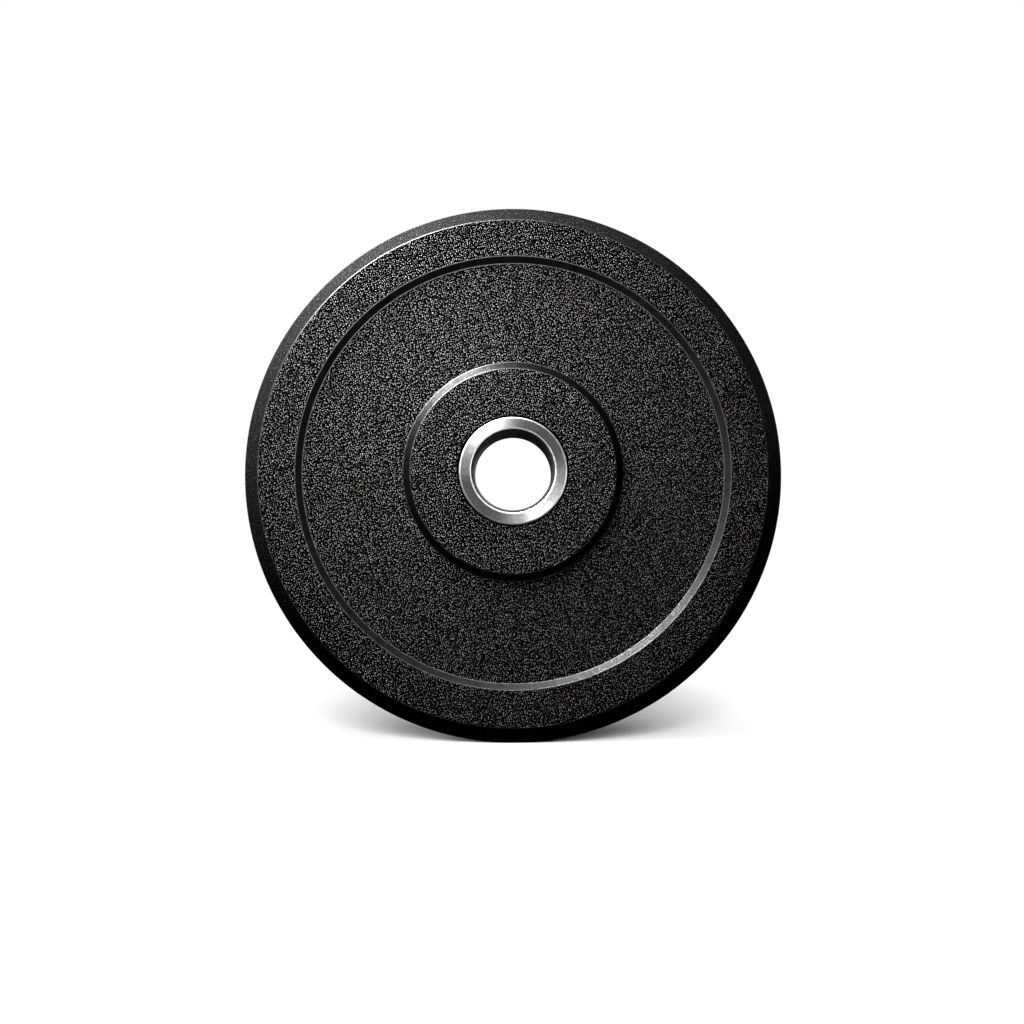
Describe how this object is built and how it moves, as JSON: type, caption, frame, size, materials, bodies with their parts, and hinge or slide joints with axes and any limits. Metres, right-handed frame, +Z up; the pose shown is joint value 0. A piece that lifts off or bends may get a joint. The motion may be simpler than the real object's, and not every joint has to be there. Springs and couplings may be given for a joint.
{
  "type": "bumper plate",
  "caption": "Round rubber weight plate with a raised rim, recessed web and raised hub on both sides, and a turned steel insert with a bore for a weightlifting bar.",
  "frame": {"origin": "centre of the bore, halfway through the plate's thickness", "axes": "+Y along the plate's axis from the front face to the rear face, +Z up as the plate stands on its tread, +X to the right seen from the front"},
  "size_m": [0.3498, 0.039, 0.3498],
  "materials": {
    "crumb_rubber": "satin black with a fine crumb grain",
    "turned_steel": "fine turned, bright, with circular tool marks",
    "plain_steel": "plain cut plate, out of sight inside the rubber"
  },
  "bodies": {
    "root": {"rubber_body": "crumb_rubber", "front_insert": "turned_steel", "rear_insert": "turned_steel", "anchor_disc": "plain_steel"}
  },
  "joints": []
}
